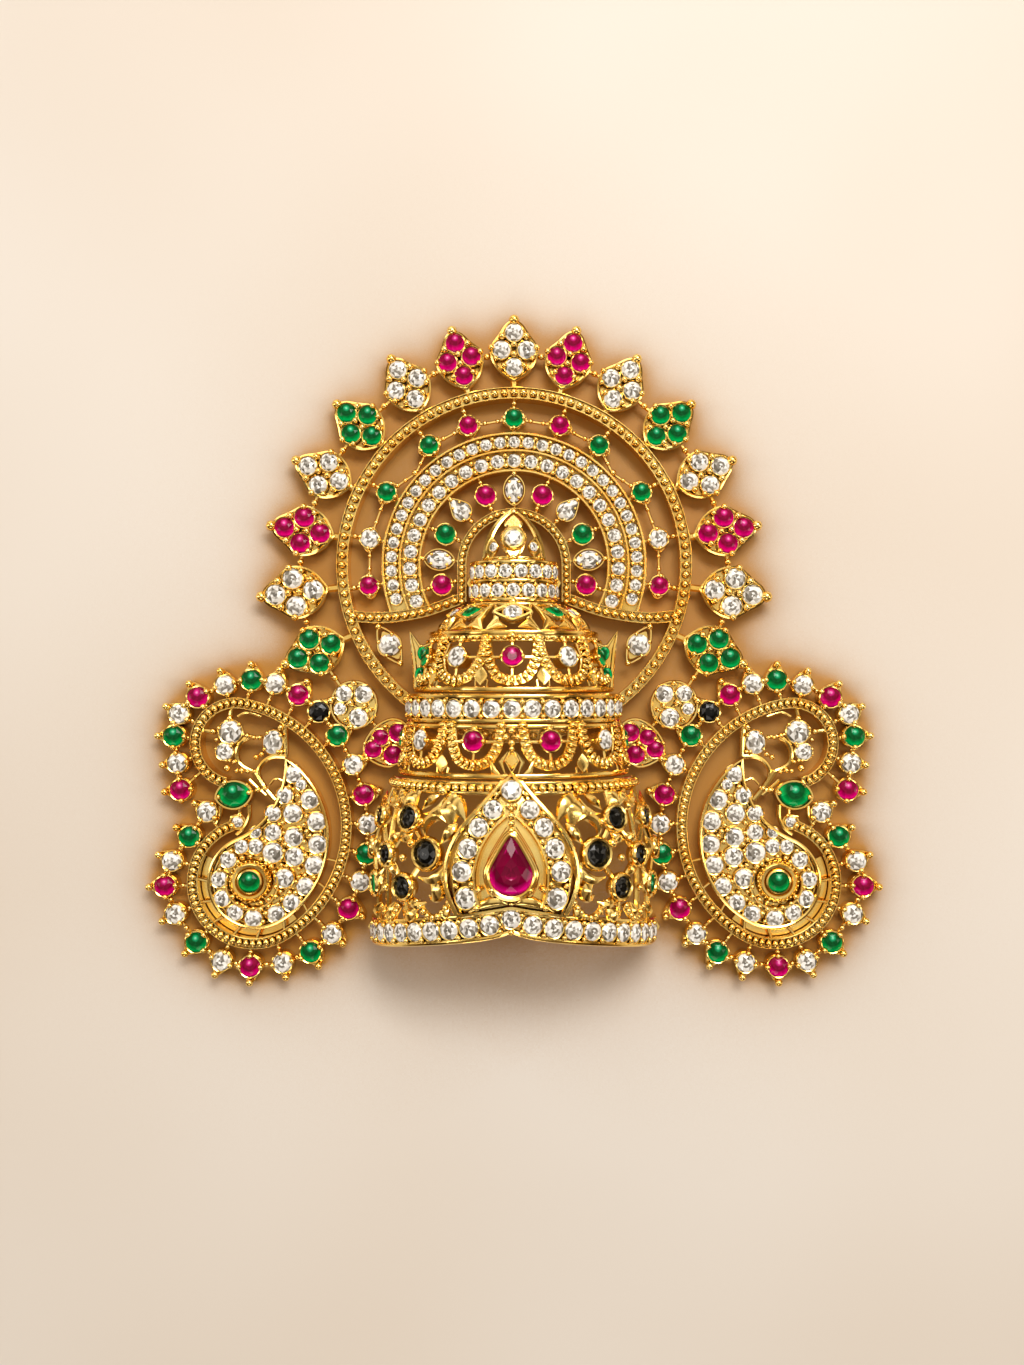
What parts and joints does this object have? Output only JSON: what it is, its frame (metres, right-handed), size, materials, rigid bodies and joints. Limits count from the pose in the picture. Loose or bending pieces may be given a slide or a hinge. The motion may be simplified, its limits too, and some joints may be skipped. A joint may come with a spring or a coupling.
{
  "type": "deity crown",
  "caption": "Gold crown for a deity figure: a tiered pierced dome on a sun halo with rays, and a stone-set mango wing at each side.",
  "frame": {"origin": "middle of the crown's outline, on the plane that its back rests on", "axes": "+Y to the top of the halo, +Z out of the crown's front, +X to the viewer's right"},
  "size_m": [0.1232, 0.1114, 0.0264],
  "materials": {
    "gold_metal": "polished",
    "white_stone": "polished",
    "ruby_stone": "polished",
    "emerald_stone": "polished"
  },
  "bodies": {
    "root": {"halo_frame": "gold_metal", "pave_arch": "gold_metal", "outer_stone_string": "gold_metal", "finial": "gold_metal", "top_band": "gold_metal", "collar": "gold_metal", "upper_gallery": "gold_metal", "middle_band": "gold_metal", "lower_gallery": "gold_metal", "base_gallery": "gold_metal", "base_band": "gold_metal", "inner_stone_1": "white_stone", "inner_stone_2": "ruby_stone", "inner_stone_3": "ruby_stone", "inner_stone_4": "white_stone", "inner_stone_5": "white_stone", "inner_stone_6": "emerald_stone", "inner_stone_7": "emerald_stone", "inner_stone_8": "white_stone", "inner_stone_9": "white_stone", "inner_stone_10": "ruby_stone", "inner_stone_11": "ruby_stone", "ray_1": "gold_metal", "ray_2": "gold_metal", "ray_3": "gold_metal", "ray_4": "gold_metal", "ray_5": "gold_metal", "ray_6": "gold_metal", "ray_7": "gold_metal", "ray_8": "gold_metal", "ray_9": "gold_metal", "ray_10": "gold_metal", "ray_11": "gold_metal", "ray_12": "gold_metal", "ray_13": "gold_metal", "ray_14": "gold_metal", "ray_15": "gold_metal", "ray_16": "gold_metal", "ray_17": "gold_metal", "ray_18": "gold_metal", "ray_19": "gold_metal", "front_pear_stone": "ruby_stone", "upper_ruby": "ruby_stone", "lower_ruby_right": "ruby_stone", "leaf_stone_right": "white_stone", "wing_frame_right": "gold_metal", "wing_border_right": "gold_metal", "wing_mango_right": "gold_metal", "wing_marquise_right": "emerald_stone", "lower_ruby_left": "ruby_stone", "leaf_stone_left": "white_stone", "wing_frame_left": "gold_metal", "wing_border_left": "gold_metal", "wing_mango_left": "gold_metal", "wing_marquise_left": "emerald_stone"}
  },
  "joints": []
}
